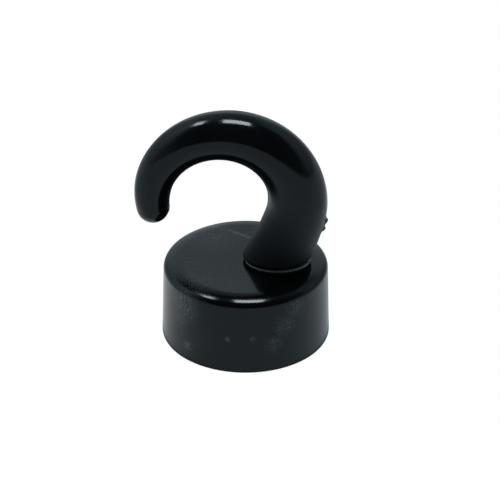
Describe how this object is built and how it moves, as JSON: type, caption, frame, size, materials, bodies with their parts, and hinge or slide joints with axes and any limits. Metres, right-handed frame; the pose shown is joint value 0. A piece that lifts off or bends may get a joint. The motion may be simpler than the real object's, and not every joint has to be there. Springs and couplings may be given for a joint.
{
  "type": "magnetic hook",
  "caption": "Round pot magnet in a glossy black plastic cap, with a thick tapered hook that screws into an off-centre threaded bush.",
  "frame": {"origin": "centre of the magnet's face, which is the underside of the drum", "axes": "+Z out of the drum's top, along the drum's axis; the hook lies in the XZ plane with its mouth towards -X; +Y is to the hook's side"},
  "size_m": [0.0288, 0.025, 0.0369],
  "materials": {
    "hook_plastic": "gloss",
    "cap_plastic": "gloss",
    "washer_nylon": "satin",
    "wire_steel": "zinc plated",
    "bush_steel": "yellow zinc plated",
    "pot_steel": "zinc plated",
    "magnet_plating": "nickel plated",
    "resin": "cast resin",
    "glue": "cured glue"
  },
  "bodies": {
    "magnet_base": {"cap": "cap_plastic", "cap_glue": "glue", "threaded_bush": "bush_steel", "steel_pot": "pot_steel", "magnet_glue": "glue", "magnet": "magnet_plating", "resin_ring": "resin"},
    "washer": {"foot_washer": "washer_nylon"},
    "hook": {"hook_cover": "hook_plastic", "hook_core": "wire_steel"}
  },
  "joints": [
    {"name": "hook_turn", "type": "hinge", "parent": "magnet_base", "child": "washer", "pos_m": [0.0044, 0, 0.01235], "axis": [0, 0, 1], "range_deg": [0, 1980]},
    {"name": "hook_lift", "type": "slide", "parent": "washer", "child": "hook", "axis": [0, 0, 1], "range_m": [0, 0.0039]}
  ],
  "couplings": [
    {"joint": "hook_lift", "follows": "hook_turn", "m_per_rad": 0.00011141}
  ]
}
